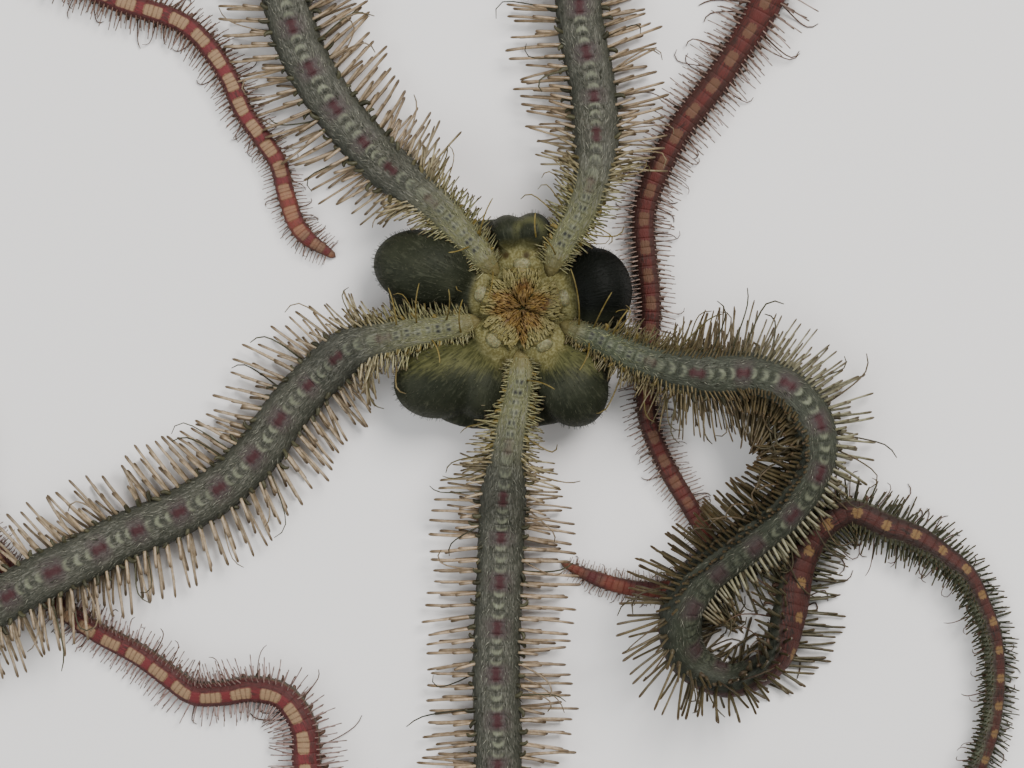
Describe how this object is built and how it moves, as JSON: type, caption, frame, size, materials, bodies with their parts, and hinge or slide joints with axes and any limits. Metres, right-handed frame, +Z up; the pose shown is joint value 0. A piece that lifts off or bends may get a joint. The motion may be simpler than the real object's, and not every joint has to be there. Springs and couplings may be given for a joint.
{
  "type": "brittle star",
  "caption": "Life-size brittle star lying oral side up, with a lobed disc, a star-shaped mouth and long, spiny arms in loose bends; a still model.",
  "frame": {"origin": "middle of the flat under the disc, straight below the mouth", "axes": "+Z up, the oral side; +Y towards the picture's top, +X towards its right"},
  "size_m": [0.0971, 0.0896, 0.0075],
  "materials": {
    "disc_skin": "wet satin",
    "arm_skin": "wet satin",
    "mouth": "wet satin",
    "oral_plates": "satin",
    "spines": "glassy satin"
  },
  "bodies": {
    "root": {"arm_left_1": "arm_skin", "arm_left_2": "arm_skin", "arm_left_3": "arm_skin", "arm_left_4": "arm_skin", "arm_left_5": "arm_skin", "arm_left_6": "arm_skin", "arm_left_7": "arm_skin", "arm_lower_1": "arm_skin", "arm_lower_2": "arm_skin", "arm_lower_3": "arm_skin", "arm_lower_4": "arm_skin", "arm_lower_5": "arm_skin", "arm_lower_6": "arm_skin", "arm_lower_7": "arm_skin", "arm_right_1": "arm_skin", "arm_right_2": "arm_skin", "arm_right_3": "arm_skin", "arm_right_4": "arm_skin", "arm_right_5": "arm_skin", "arm_right_6": "arm_skin", "arm_right_7": "arm_skin", "arm_right_8": "arm_skin", "arm_right_9": "arm_skin", "arm_upper_left_1": "arm_skin", "arm_upper_left_2": "arm_skin", "arm_upper_left_3": "arm_skin", "arm_upper_left_4": "arm_skin", "arm_upper_left_5": "arm_skin", "arm_upper_left_6": "arm_skin", "arm_upper_left_7": "arm_skin", "arm_upper_right_1": "arm_skin", "arm_upper_right_2": "arm_skin", "arm_upper_right_3": "arm_skin", "arm_upper_right_4": "arm_skin", "arm_upper_right_5": "arm_skin", "arm_upper_right_6": "arm_skin", "arm_upper_right_7": "arm_skin", "arm_upper_right_8": "arm_skin", "disc": "disc_skin", "disc_lobe_left": "disc_skin", "disc_lobe_lower_left": "disc_skin", "disc_lobe_lower_right": "disc_skin", "disc_lobe_right": "disc_skin", "disc_lobe_upper": "disc_skin", "jaw_left": "mouth", "jaw_lower_left": "mouth", "jaw_lower_right": "mouth", "jaw_right": "mouth", "jaw_upper": "mouth", "oral_shield_left": "oral_plates", "oral_shield_lower_left": "oral_plates", "oral_shield_lower_right": "oral_plates", "oral_shield_right": "oral_plates", "oral_shield_upper": "oral_plates"}
  },
  "joints": []
}
